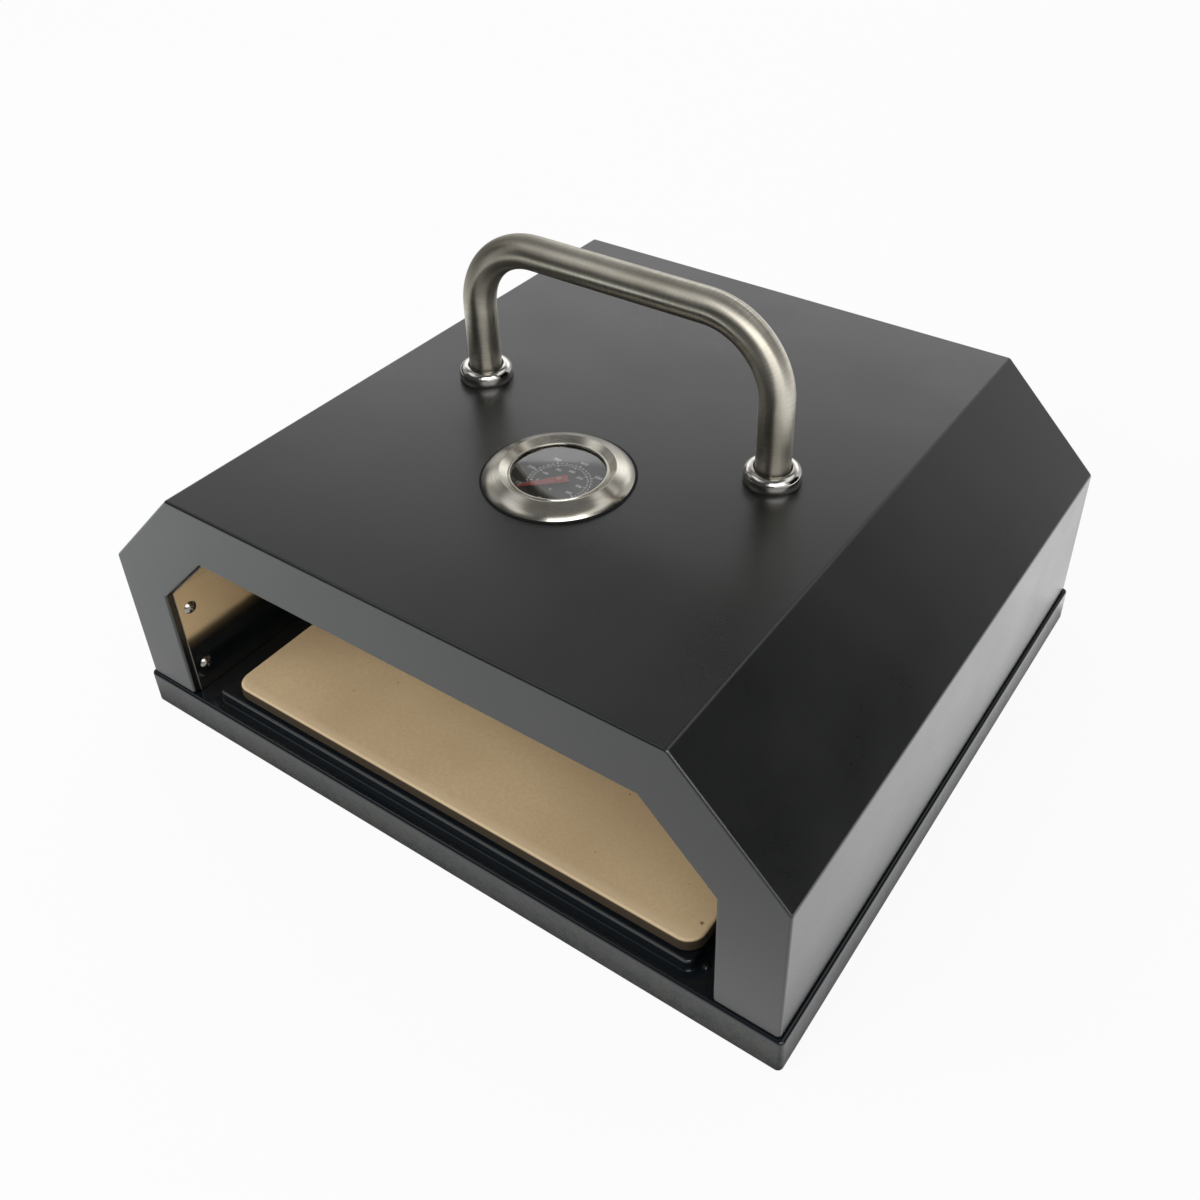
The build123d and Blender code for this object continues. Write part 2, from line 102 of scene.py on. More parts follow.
# Dial print. Each scale has its numbers, the first one's angle and the clockwise sweep in degrees, the radii
# of its circle, of the ends of short and long ticks and of the numbers, the ticks' width and the digits' size
PRINT_LIFT = 0.05 * MM
PRINT_THICKNESS = 0.02 * MM
LABEL_WEIGHT = 0.05 * MM
CIRCLE_WIDTH = 0.16 * MM
CIRCLE_STEPS = 120
TICKS_PER_NUMBER = 5
LONG_TICK_WIDENING = 1.5
FAHRENHEIT = {"numbers": range(100, 701, 100), "start": 215.5, "sweep": 258.5, "circle": 15.5 * MM,
              "short": 16.4 * MM, "long": 17.0 * MM, "label": 19.3 * MM, "tick": 0.42 * MM, "size": 2.9 * MM}
CELSIUS = {"numbers": range(50, 351, 50), "start": 206.0, "sweep": 232.6, "circle": 14.3 * MM,
           "short": 13.5 * MM, "long": 12.9 * MM, "label": 10.4 * MM, "tick": 0.38 * MM, "size": 2.3 * MM}
# The units' signs: text, size and how far before the middle of the dial
UNIT_SIGNS = (("°C", 2.0 * MM, 7.4 * MM), ("°F", 2.4 * MM, 15.8 * MM))

# Studio levels, where 1 is white: what mirrors see outside all the parts listed below, and the even light on
# everything
CEILING_LEVEL = 0.07
AMBIENT_LEVEL = 0.65
# Parts of the surroundings as mirrors see them, each laid over the ones before it: middle azimuth, half
# width, lowest and highest elevation and soft edge in degrees, then the level. Azimuths run from the back
# towards the right
SURROUNDINGS = (
    (0, 180, -30, 41, 8, 0.34),
    (-25, 38, -30, 24, 8, 0.50),
    (-32, 45, 20, 32, 7, 1.05),
    (-2, 16, 20, 34, 7, 1.30),
    (25, 14, -30, 35, 8, 0.62),
    (61, 23, -30, 36, 5, 0.00),
    (127, 34, 4, 46, 8, 0.90),
    (-98, 34, -30, 17, 8, 0.12),
    (-150, 66, -30, 12, 6, 0.02),
    (-150, 36, -30, 40, 8, 0.05),
    (-34, 13, 33, 40, 5, 0.46),
    (-100, 65, 46, 66, 8, 0.36),
    (-118, 28, 44, 60, 8, 1.00),
    (55, 55, 44, 66, 8, 1.00),
    (0, 180, 64, 120, 8, 0.15),
    (132, 30, 26, 52, 7, 4.60),
)
# Lamps: place, target, size, power and whether mirrors see it
SOFTBOXES = {
    "back_softbox": ((-0.93, 1.56, 0.97), (0, 0, 0.1), (1.80, 0.80), 2.3, True),
    "key_softbox": ((-0.95, -1.60, 1.42), (0, 0, 0.05), (1.5, 0.8), 18.0, False),
}

# Floor. Its glow is how much of what camera and mirrors see of it comes from its own light
FLOOR_HALF = 6.0
FLOOR_DROP = 0.2 * MM
FLOOR_GLOW = 0.92
# The floor as mirrors see it. Each row runs from one place to another, in metres to the right or to the back,
# and its last two numbers are the levels or shares there. The tint's own row is a colour
TABLE_FRONT = (-1.00, -0.75, 0.0, 1.0)
BEFORE_OVEN = (-0.26, -0.17, 1.0, 0.0)
BEFORE_LEVELS = (-0.32, 0.14, 1.10, 0.80)
BEFORE_TINT = (0.935, 1.0, 0.965)
BEFORE_TINT_SHARE = (-0.32, 0.10, 1.0, 0.2)
RIGHT_SHARE = (-0.05, 0.20, 0.0, 1.0)
RIGHT_LEVELS = (-0.12, 0.10, 1.36, 1.75)
# These two run outwards from the tray: the level next to it, and what comes off before the oven
CONTACT_LEVELS = (0.0, 14 * MM, 0.22, 1.0)
NEAR_SHADE = (0.0, 0.12, 0.32, 0.0)

# Parts whose CAD mesh stays and gets a finish
COATED = ("hood_shell", "front_panel", "back_panel")
ROLLED = ("liner_shell", "liner_back", "stem_tube")
PLATED = ("handle_plug_left", "handle_plug_right", "handle_bolt_left", "handle_bolt_right",
          "handle_washer_left", "handle_washer_right", "thermometer_case", "stem_spacer",
          "stem_washer", "bimetal_coil", "needle_spindle")
BRASS = ("stem_neck", "stem_nut", "spindle_bush")
SCREWS = ("liner_front_screws", "liner_back_screws")


def box_middle(node, height=0.0):
    """Middle of a node's box as seen from above, at a height."""
    low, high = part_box(node)
    return ((low.x + high.x) / 2, (low.y + high.y) / 2, height)


def half_width(node):
    low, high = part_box(node)
    return (high.x - low.x) / 2


def toned(colour, share):
    """The same colour, lighter or darker."""
    return tuple(share * c for c in colour)


class Nodes:
    """A node tree that is built up by short calls, each of which returns an output socket."""

    def __init__(self, tree):
        self.tree = tree

    def put(self, socket, value):
        """Links an input socket to another node's output, or gives it a value. A colour needs no alpha."""
        if isinstance(value, bpy.types.NodeSocket):
            self.tree.links.new(value, socket)
        elif isinstance(value, (tuple, list)) and len(value) == 3 and len(socket.default_value) == 4:
            socket.default_value = (*value, 1.0)
        else:
            socket.default_value = value

    def node(self, kind, inputs, output=0, **settings):
        """Adds a node, with its inputs by name or number and its other settings by name."""
        node = self.tree.nodes.new(kind)
        for key, value in settings.items():
            setattr(node, key, value)
        for key, value in inputs.items():
            self.put(node.inputs[key], value)
        return node.outputs[output]

    def axis(self, vector, name):
        return self.node("ShaderNodeSeparateXYZ", {"Vector": vector}, name)

    def math(self, operation, a, b=0.0, clamp=False):
        return self.node("ShaderNodeMath", {0: a, 1: b}, operation=operation, use_clamp=clamp)

    def add(self, a, b, clamp=False):
        return self.math("ADD", a, b, clamp)

    def times(self, a, b):
        return self.math("MULTIPLY", a, b)

    def blended(self, share, a, b):
        """A number between a, at share 0, and b, at share 1."""
        return self.node("ShaderNodeMix", {0: share, 2: a, 3: b})

    def ranged(self, value, low, high, to_low=0.0, to_high=1.0):
        """Stretches the range from low to high over another range, and stops at its ends."""
        return self.node("ShaderNodeMapRange", {"Value": value, "From Min": low, "From Max": high,
                                                "To Min": to_low, "To Max": to_high})

    def varied(self, noise, low=0.0, high=1.0):
        """Stretches a noise's usual values over a range."""
        return self.ranged(noise, *NOISE_SPREAD, low, high)

    def ray_kinds(self):
        """The masks of camera rays and of mirrored or refracted rays."""
        rays = self.tree.nodes.new("ShaderNodeLightPath").outputs
        return rays["Is Camera Ray"], self.math("MAXIMUM", rays["Is Glossy Ray"], rays["Is Transmission Ray"])


class Paint(Nodes):
    """A material on the Principled shader."""

    def __init__(self, name):
        self.material = bpy.data.materials.new(name)
        self.material.use_nodes = True
        super().__init__(self.material.node_tree)
        self.shader = self.tree.nodes["Principled BSDF"]

    def set(self, **inputs):
        """Sets the shader's inputs, with underscores for the spaces in their names."""
        for key, value in inputs.items():
            self.put(self.shader.inputs[key.replace("_", " ")], value)

    def surface(self, shader):
        """Makes another shader the material's surface."""
        self.put(self.tree.nodes["Material Output"].inputs["Surface"], shader)

    def place(self):
        """Place on the piece, in metres."""
        return self.node("ShaderNodeTexCoord", {}, "Object")

    def surface_place(self):
        """Place along and round the piece, from its UV map, in metres."""
        return self.node("ShaderNodeTexCoord", {}, "UV")

    def stretched(self, vector, scale):
        """The place, scaled by axis, which makes a pattern longer along an axis whose scale is small."""
        return self.node("ShaderNodeMapping", {"Vector": vector, "Scale": scale})

    def noise(self, vector, size, detail=2.0, rough=0.5, warp=0.0):
        """Noise from 0 to 1 whose blotches are about this many metres across."""
        return self.node("ShaderNodeTexNoise", {"Vector": vector, "Scale": 1 / size, "Detail": detail,
                                                "Roughness": rough, "Distortion": warp}, "Fac")

    def cells(self, vector, size, output="Distance"):
        """Cells of about this many metres, as the distance from each one's point or as its colour."""
        return self.node("ShaderNodeTexVoronoi", {"Vector": vector, "Scale": 1 / size}, output)

    def distance(self, vector, point):
        return self.node("ShaderNodeVectorMath", {0: vector, 1: point}, "Value", operation="DISTANCE")

    def distance_from_axis(self, vector, middle):
        """Distance from an upright axis, which goes through a point at height zero."""
        flat = self.node("ShaderNodeVectorMath", {0: vector, 1: (1, 1, 0)}, operation="MULTIPLY")
        return self.distance(flat, middle)

    def mix(self, share, a, b):
        """A colour between a, at share 0, and b, at share 1."""
        node = self.tree.nodes.new("ShaderNodeMix")
        node.data_type = "RGBA"
        self.put(node.inputs[0], share)
        self.put(node.inputs[6], a)
        self.put(node.inputs[7], b)
        return node.outputs[2]

    def bump(self, height, distance, strength, normal=None):
        """Relief from a pattern, laid over another relief if one is given."""
        inputs = {"Height": height, "Distance": distance, "Strength": strength}
        if normal is not None:
            inputs["Normal"] = normal
        return self.node("ShaderNodeBump", inputs)

    def grain(self, amount, turn=0.0):
        """Stretches the shine along the UV map's first axis, or at a part of a full turn from it."""
        tangent = self.node("ShaderNodeTangent", {}, direction_type="UV_MAP", uv_map="along_and_round")
        self.set(Anisotropic=amount, Anisotropic_Rotation=turn, Tangent=tangent)

    def turning_lines(self, vector):
        """Fine lines round an upright axis, as a lathe leaves them."""
        return self.noise(self.stretched(vector, (0.05, 0.05, 1)), 0.3 * MM)


def powder_coat():
    """Satin black powder coat: fine orange peel, faint blotches and a little dust in the grain.

    A thin matt ring round the thermometer's bezel, a little off its middle, is painted shade: it dulls the
    coat where a shadow line runs round the bezel.
    """
    dark, light, dust = (0.0050, 0.0058, 0.0056), (0.0086, 0.0096, 0.0093), (0.030, 0.031, 0.032)
    ring_shift, ring_width, ring_edge = Vector((-0.50 * MM, 0.75 * MM, 0)), 1.2 * MM, 0.2 * MM
    p = Paint("powder_coat_black")
    here = p.place()
    blotch = p.noise(here, 45 * MM, 3.0)
    peel = p.noise(here, 1.1 * MM)
    grain = p.noise(here, 0.4 * MM, 1.0)
    sag = p.noise(here, 110 * MM, 1.0)
    p.set(Base_Color=p.mix(p.ranged(grain, 0.60, 0.80, 0.0, 0.45), p.mix(blotch, dark, light), dust))
    rough = p.add(p.varied(blotch, 0.285, 0.325), p.varied(peel, -0.02, 0.02))
    reach = p.distance_from_axis(here, Vector(box_middle("thermometer_bezel")) + ring_shift)
    edge = half_width("thermometer_bezel") + ring_width
    # painted shade: a matt ring round the bezel, dulled so that it reads as the dark shadow line there
    painted_shade_ring = p.ranged(reach, edge - ring_edge, edge, 1.0, 0.0)
    p.set(Roughness=p.add(rough, p.times(painted_shade_ring, 0.7), clamp=True))
    wave = p.bump(sag, 1.2 * MM, 0.25)
    skin = p.bump(peel, 0.05 * MM, 0.35, wave)
    p.set(Normal=p.bump(grain, 0.02 * MM, 0.42, skin), IOR=1.72)
    return p.material


def enamel():
    """Glossy black enamel: a clean glaze on top, and a mottled, faintly dotted coat on the skirt.

    A thin grey line along the front edge of the platform's step is a painted highlight.
    """
    glaze_black, dot_black = (0.0060, 0.0088, 0.0115), (0.0020, 0.0022, 0.0020)
    mottled, speckled = (0.0350, 0.0380, 0.0310), (0.1000, 0.1050, 0.0880)
    # the grey of the painted highlight on the platform's edge
    painted_highlight_grey = (0.0600, 0.0640, 0.0620)
    dotted_foot, skirt_top = (2 * MM, 9 * MM), (18 * MM, 20.5 * MM)
    highlight_height, highlight_front = (27.7 * MM, 28.3 * MM), (-168.9 * MM, -168.4 * MM)
    p = Paint("enamel_black")
    here = p.place()
    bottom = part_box("base_tray")[0].z
    height = p.axis(here, "Z")
    skirt = p.ranged(height, *skirt_top, 1.0, 0.0)
    mottle = p.noise(here, 6 * MM, 4.0, 0.70, 0.6)
    tone = p.mix(p.times(p.ranged(mottle, 0.38, 0.64), skirt), glaze_black, mottled)
    speck = p.noise(here, 1.4 * MM, 2.0, 0.7)
    tone = p.mix(p.times(p.ranged(speck, 0.50, 0.72, 0.0, 0.30), skirt), tone, speckled)
    # painted highlight: a thin grey line along the top front edge of the platform's step
    edge_highlight = p.times(p.ranged(height, bottom + highlight_height[0], bottom + highlight_height[1]),
                   p.ranged(p.axis(here, "Y"), *highlight_front, 1.0, 0.0))
    tone = p.mix(edge_highlight, tone, painted_highlight_grey)
    dots = p.ranged(p.cells(here, 2.8 * MM), 0.10, 0.22, 1.0, 0.0)
    dots = p.times(dots, p.ranged(height, *dotted_foot, 0.9, 0.0))
    p.set(Base_Color=p.mix(dots, tone, dot_black))
    gloss = p.add(0.13, p.times(p.varied(mottle, 0.05, 0.25), skirt))
    p.set(Roughness=p.add(gloss, p.varied(p.noise(here, 30 * MM), -0.02, 0.03)))
    ripple = p.bump(p.noise(here, 6 * MM, 1.0), 0.10 * MM, 0.20)
    p.set(Normal=p.bump(p.times(mottle, skirt), 0.12 * MM, 0.40, ripple), IOR=1.45)
    return p.material


def stone_tone(p, here, sand, grain):
    """Colour of the stone's top and sides without its marks."""
    tan, light_tan = (0.64, 0.480, 0.285), (0.73, 0.560, 0.340)
    grain_tan, sand_tan, highlight_tan = (0.52, 0.385, 0.220), (0.80, 0.660, 0.450), (0.82, 0.660, 0.440)
    # painted shade colours: a darker tan for the stone away from its front edge, and a near-black for its
    # sides
    painted_shade_tan, side_shade_dark = (0.455, 0.335, 0.190), (0.020, 0.013, 0.007)
    shade_from, shade_to, shade_slant = -125 * MM, -75 * MM, -0.25
    low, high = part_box("pizza_stone")
    stain = p.noise(here, 50 * MM, 3.0)
    tone = p.mix(p.varied(stain), tan, light_tan)
    tone = p.mix(p.ranged(grain, 0.35, 0.70, 0.0, 0.30), tone, grain_tan)
    tone = p.mix(p.ranged(sand, 0.55, 0.80, 0.0, 0.40), tone, sand_tan)
    depth = p.axis(here, "Y")
    # painted shade: darker towards the back and the right, away from the front edge
    shade_depth = p.math("SUBTRACT", depth, p.times(p.axis(here, "X"), shade_slant))
    tone = p.mix(p.ranged(shade_depth, shade_from, shade_to, 0.0, 0.85), tone, painted_shade_tan)
    # painted highlight: a paler band along the front edge of the stone's top
    rim = p.ranged(depth, low.y + 3.5 * MM, low.y + 7.0 * MM, 0.45, 0.0)
    tone = p.mix(rim, tone, highlight_tan)
    # painted shade: the sides, below the top's rounding, are turned nearly black
    side = p.ranged(p.axis(here, "Z"), high.z - 1.0 * MM, high.z - 0.4 * MM, 0.97, 0.0)
    return p.mix(side, tone, side_shade_dark)


def stone_spots(p, here, grain):
    """Mask of the small pores and of one darker mark near the front right corner."""
    mark_inset, mark_depth, mark_raggedness = 4.6 * MM, 12.9 * MM, 1.2 * MM
    low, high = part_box("pizza_stone")
    pore = p.times(p.ranged(p.cells(here, 9 * MM), 0.030, 0.065, 1.0, 0.0),
                   p.ranged(p.noise(here, 20 * MM, 1.0), 0.52, 0.58))
    reach = p.distance(here, (high.x - mark_inset, low.y + mark_depth, high.z))
    ragged = p.add(reach, p.ranged(grain, 0, 1, -mark_raggedness, mark_raggedness))
    mark = p.ranged(ragged, 0.6 * MM, 1.2 * MM, 0.8, 0.0)
    return p.math("MAXIMUM", pore, mark, clamp=True)


def cordierite():
    """Pressed stone: fine sandy grain, soft stains, dark specks and small pores.

    Painted shade darkens it away from the front edge and makes its sides nearly black, and a painted
    highlight pales the front edge of its top.
    """
    spot_brown = (0.13, 0.075, 0.035)
    p = Paint("cordierite")
    here = p.place()
    sand = p.noise(here, 0.7 * MM)
    grain = p.noise(here, 2.2 * MM, 3.0, 0.6)
    spots = stone_spots(p, here, grain)
    p.set(Base_Color=p.mix(spots, stone_tone(p, here, sand, grain), spot_brown))
    p.set(Roughness=p.varied(grain, 0.80, 0.93), Specular_IOR_Level=0.25)
    rise = p.add(p.times(sand, 0.5), grain)
    p.set(Normal=p.bump(p.math("SUBTRACT", rise, p.times(spots, 2.0)), 0.12 * MM, 0.5))
    return p.material


def rolled_steel():
    """Bright rolled sheet: fine lines along its length, faint smears and a dull cut edge at the mouth."""
    steel, bright = (0.90, 0.850, 0.780), (0.95, 0.920, 0.870)
    line_grey, cut_grey = (0.60, 0.560, 0.510), (0.22, 0.195, 0.160)
    p = Paint("stainless_liner")
    here = p.place()
    lines = p.noise(p.stretched(here, (1, 0.01, 1)), 0.5 * MM)
    streak = p.noise(p.stretched(here, (1, 0.10, 1)), 8 * MM)
    smear = p.noise(here, 35 * MM, 3.0)
    tone = p.mix(p.varied(smear), steel, bright)
    tone = p.mix(p.ranged(lines, 0.3, 0.8, 0.0, 0.25), tone, line_grey)
    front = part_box("liner_shell")[0].y
    cut = p.ranged(p.axis(here, "Y"), front + 0.15 * MM, front + 0.45 * MM, 1.0, 0.0)
    p.set(Base_Color=p.mix(cut, tone, cut_grey), Metallic=1.0)
    shine = p.add(p.varied(streak, 0.11, 0.15), p.ranged(smear, 0.4, 0.7, 0.0, 0.03))
    p.set(Roughness=p.math("MAXIMUM", shine, p.times(cut, 0.5)))
    p.set(Normal=p.bump(lines, 0.01 * MM, 0.10))
    return p.material


def brushed_tube():
    """Stainless tube polished across: fine rings, long soft bands and a warm grey tint.

    Its upper left end is darker, as painted shade.
    """
    warm_grey, light_grey, band_brown = (0.63, 0.600, 0.520), (0.71, 0.685, 0.610), (0.40, 0.345, 0.255)
    shaded_end_brown, ring_brown = (0.17, 0.150, 0.115), (0.27, 0.240, 0.190)
    left_from, left_to, upper_from, upper_to = -85 * MM, -15 * MM, 48 * MM, 22 * MM
    p = Paint("stainless_brushed_tube")
    along = p.surface_place()
    rings = p.noise(p.stretched(along, (1, 0.03, 1)), 0.6 * MM, 3.0, 0.8)
    bands = p.noise(p.stretched(along, (0.10, 1, 1)), 5 * MM)
    blotch = p.noise(along, 30 * MM)
    tone = p.mix(p.varied(blotch), warm_grey, light_grey)
    tone = p.mix(p.ranged(bands, 0.35, 0.65, 0.0, 0.40), tone, band_brown)
    here = p.place()
    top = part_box("handle_tube")[1].z
    # painted shade: the tube's upper left end is darkened towards brown
    left = p.ranged(p.axis(here, "X"), left_from, left_to, 0.72, 0.0)
    upper = p.ranged(p.axis(here, "Z"), top - upper_from, top - upper_to)
    tone = p.mix(p.times(left, upper), tone, shaded_end_brown)
    p.set(Base_Color=p.mix(p.ranged(rings, 0.35, 0.75, 0.0, 0.50), tone, ring_brown), Metallic=1.0)
    p.set(Roughness=p.add(p.varied(rings, 0.34, 0.40), p.varied(blotch, -0.02, 0.03)))
    p.set(Normal=p.bump(rings, 0.02 * MM, 0.20))
    p.grain(0.92)
    return p.material


def brushed_ring():
    """Bezel steel brushed round its ring."""
    warm_grey, light_grey = (0.60, 0.570, 0.495), (0.72, 0.695, 0.630)
    band_brown, line_brown = (0.42, 0.370, 0.285), (0.32, 0.300, 0.245)
    p = Paint("stainless_brushed_ring")
    along = p.surface_place()
    lines = p.noise(p.stretched(along, (0.02, 1, 1)), 0.4 * MM, 3.0, 0.7)
    bands = p.noise(p.stretched(along, (0.10, 1, 1)), 2.2 * MM)
    smear = p.noise(along, 14 * MM)
    tone = p.mix(p.varied(smear), warm_grey, light_grey)
    tone = p.mix(p.ranged(bands, 0.35, 0.65, 0.0, 0.20), tone, band_brown)
    p.set(Base_Color=p.mix(p.ranged(lines, 0.35, 0.75, 0.0, 0.25), tone, line_brown), Metallic=1.0)
    p.set(Roughness=p.add(p.varied(lines, 0.20, 0.25), p.varied(smear, -0.02, 0.03)))
    p.set(Normal=p.bump(lines, 0.01 * MM, 0.10))
    p.grain(0.75, 0.25)
    return p.material


def polished_steel():
    """Turned and polished steel with faint turning lines and a few smudges."""
    tint = (0.70, 0.680, 0.640)
    p = Paint("polished_steel")
    here = p.place()
    smudge = p.noise(here, 4 * MM, 3.0)
    p.set(Base_Color=p.mix(p.ranged(smudge, 0.35, 0.70, 0.0, 0.6), tint, toned(tint, 0.82)), Metallic=1.0)
    p.set(Roughness=p.varied(smudge, 0.08, 0.16))
    p.set(Normal=p.bump(p.turning_lines(here), 0.01 * MM, 0.30))
    return p.material


def plated_steel(name, tint, roughness):
    """Zinc plating with a fine crystal pattern."""
    p = Paint(name)
    here = p.place()
    crystal = p.cells(here, 1.8 * MM, "Color")
    cloud = p.noise(here, 6 * MM, 3.0)
    p.set(Base_Color=p.mix(p.varied(cloud), toned(tint, 0.72), tint), Metallic=1.0)
    rough = p.varied(cloud, roughness - 0.06, roughness + 0.06)
    p.set(Roughness=p.add(rough, p.ranged(crystal, 0, 1, -0.03, 0.03)))
    p.set(Normal=p.bump(cloud, 0.03 * MM, 0.30))
    return p.material


def turned_brass():
    """Turned brass, dulled by heat."""
    brass, tarnished = (0.66, 0.46, 0.19), (0.40, 0.26, 0.12)
    p = Paint("brass")
    here = p.place()
    tarnish = p.noise(here, 4 * MM, 4.0, 0.6)
    p.set(Base_Color=p.mix(p.ranged(tarnish, 0.35, 0.70), brass, tarnished), Metallic=1.0)
    p.set(Roughness=p.varied(tarnish, 0.22, 0.42))
    p.set(Normal=p.bump(p.turning_lines(here), 0.015 * MM, 0.40))
    return p.material


def matt_black(name, tone, size, roughness):
    """Matt black with a fine tooth, for the gasket and the dial's ground."""
    p = Paint(name)
    here = p.place()
    tooth = p.noise(here, size)
    p.set(Base_Color=p.mix(p.varied(p.noise(here, 8 * MM)), tone, toned(tone, 1.7)))
    p.set(Roughness=p.varied(tooth, roughness - 0.08, roughness + 0.08))
    p.set(Normal=p.bump(tooth, 0.02 * MM, 0.30))
    return p.material


def needle_red():
    """Red lacquered pointer with a paler hub."""
    red, light_red, hub_red = (0.27, 0.030, 0.028), (0.36, 0.050, 0.045), (0.46, 0.20, 0.18)
    p = Paint("needle_red")
    here = p.place()
    reach = p.distance_from_axis(here, box_middle("thermometer_bezel"))
    hub = p.ranged(reach, 1.2 * MM, 1.6 * MM, 1.0, 0.0)
    haze = p.noise(here, 1.5 * MM, 3.0)
    p.set(Base_Color=p.mix(hub, p.mix(p.varied(haze), red, light_red), hub_red))
    p.set(Roughness=p.varied(haze, 0.32, 0.45))
    p.set(Normal=p.bump(haze, 0.01 * MM, 0.30))
    return p.material


def dial_ink():
    """Pale screen print, a little uneven."""
    full, thin = (0.80, 0.80, 0.78), (0.60, 0.60, 0.58)
    p = Paint("dial_ink")
    wear = p.noise(p.place(), 0.8 * MM, 3.0)
    p.set(Base_Color=p.mix(p.ranged(wear, 0.35, 0.70), full, thin))
    p.set(Roughness=p.varied(wear, 0.50, 0.65))
    return p.material


def dial_glass():
    """Clear pane: light passes straight through, and the surface mirrors by angle, with a trace of haze."""
    p = Paint("dial_glass")
    haze = p.noise(p.place(), 10 * MM, 3.0)
    front = p.math("SUBTRACT", 1.0, p.node("ShaderNodeNewGeometry", {}, "Backfacing"))
    share = p.times(p.node("ShaderNodeFresnel", {"IOR": 3.0}), front)
    gloss = p.node("ShaderNodeBsdfGlossy", {"Color": (0.97, 0.98, 0.98),
                                            "Roughness": p.ranged(haze, 0.3, 0.8, 0.01, 0.06)})
    clear = p.node("ShaderNodeBsdfTransparent", {"Color": (0.96, 0.965, 0.96)})
    p.surface(p.node("ShaderNodeMixShader", {0: share, 1: clear, 2: gloss}))
    p.tree.nodes.remove(p.shader)
    return p.material


def paint(obj, material):
    obj.data.materials.clear()
    obj.data.materials.append(material)


def paint_all(names, material):
    for name in names:
        paint(nodes[name], material)


def new_object(name, mesh, material):
    """Adds a piece of the hood, with its finish."""
    obj = bpy.data.objects.new(name, mesh)
    bpy.context.scene.collection.objects.link(obj)
    obj.data.materials.append(material)
    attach(obj, "hood")
    return obj


def ring_mesh(name, loops, uvs):
    """Mesh of equal rings of points, joined in order and the last to the first, with a UV map in metres."""
    mesh = bpy.data.meshes.new(name)
    bm = bmesh.new()
    layer = bm.loops.layers.uv.new("along_and_round")
    rows = [[bm.verts.new(point) for point in loop] for loop in loops]
    count = len(rows[0])
    for step, row in enumerate(rows):
        following = rows[(step + 1) % len(rows)]
        for i in range(count):
            j = (i + 1) % count
            face = bm.faces.new((row[i], row[j], following[j], following[i]))
            face.smooth = True
            for loop, uv in zip(face.loops, uvs(step, i)):
                loop[layer].uv = uv
    bmesh.ops.recalc_face_normals(bm, faces=bm.faces)
    bm.to_mesh(mesh)
    bm.free()
    return mesh


def lathe(name, profile, centre, segments):
    """Closed ring turned from a closed profile of (radius, height) points, round an upright axis."""
    lengths = [0.0]
    for (r0, z0), (r1, z1) in zip(profile, profile[1:] + profile[:1]):
        lengths.append(lengths[-1] + math.hypot(r1 - r0, z1 - z0))
    radius = max(r for r, z in profile)
    angles = [FULL_TURN * i / segments for i in range(segments)]
    loops = []
    for r, z in profile:
        loops.append([(centre[0] + r * math.cos(angle), centre[1] + r * math.sin(angle), centre[2] + z)
                      for angle in angles])

    def uvs(step, i):
        near, far = (FULL_TURN * radius * k / segments for k in (i, i + 1))
        start, end = lengths[step], lengths[step + 1]
        return ((near, start), (far, start), (far, end), (near, end))

    return ring_mesh(name, loops, uvs)


def rounded_profile(corners, steps=8):
    """Closed profile from corners of (radius, height, rounding)."""
    points = []
    for k, (x, z, rounding) in enumerate(corners):
        here = Vector((x, z))
        if rounding <= 0:
            points.append((x, z))
            continue
        before = (Vector(corners[k - 1][:2]) - here).normalized()
        after = (Vector(corners[(k + 1) % len(corners)][:2]) - here).normalized()
        half = before.angle(after) / 2
        reach = rounding / math.tan(half)
        middle = here + (before + after).normalized() * (rounding / math.sin(half))
        first = here + before * reach - middle
        last = here + after * reach - middle
        turn = first.angle_signed(last)
        for s in range(steps + 1):
            spun = first.copy()
            spun.rotate(Matrix.Rotation(-turn * s / steps, 2))
            points.append(tuple(middle + spun))
    return points


def handle_path():
    """The tube's middle line as (point, direction) pairs, and its radius."""
    low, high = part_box("handle_tube")
    radius = (high.y - low.y) / 2
    foot = high.x - radius
    bar = high.z - radius
    y = (low.y + high.y) / 2
    path = [(Vector((-foot, y, low.z)), Vector((0, 0, 1)))]
    for x, first_angle in ((-foot + HANDLE_BEND, HALF_TURN), (foot - HANDLE_BEND, HALF_TURN / 2)):
        middle = Vector((x, y, bar - HANDLE_BEND))
        for k in range(HANDLE_BEND_STEPS + 1):
            angle = first_angle - HALF_TURN / 2 * k / HANDLE_BEND_STEPS
            out = Vector((math.cos(angle), 0, math.sin(angle)))
            along = Vector((math.sin(angle), 0, -math.cos(angle)))
            path.append((middle + out * HANDLE_BEND, along))
    path.append((Vector((foot, y, low.z)), Vector((0, 0, -1))))
    return path, radius


def make_handle(material):
    """Bent tube with its wall, from one foot over the bar to the other."""
    path, radius = handle_path()
    across = Vector((0, 1, 0))
    angles = [FULL_TURN * i / HANDLE_SIDES for i in range(HANDLE_SIDES)]
    outer, inner, travelled = [], [], [0.0]
    for k, (point, along) in enumerate(path):
        side = along.cross(across)
        if k:
            travelled.append(travelled[-1] + (point - path[k - 1][0]).length)
        for rings, r in ((outer, radius), (inner, radius - HANDLE_WALL)):
            rings.append([point + (across * math.cos(angle) + side * math.sin(angle)) * r
                          for angle in angles])
    along_path = travelled + travelled[::-1] + travelled[:1]

    def uvs(step, i):
        near, far = (FULL_TURN * radius * k / HANDLE_SIDES for k in (i, i + 1))
        a, b = along_path[step], along_path[step + 1]
        return ((a, near), (a, far), (b, far), (b, near))

    mesh = ring_mesh("handle", outer + inner[::-1], uvs)
    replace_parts(new_object("handle", mesh, material), "handle_tube")


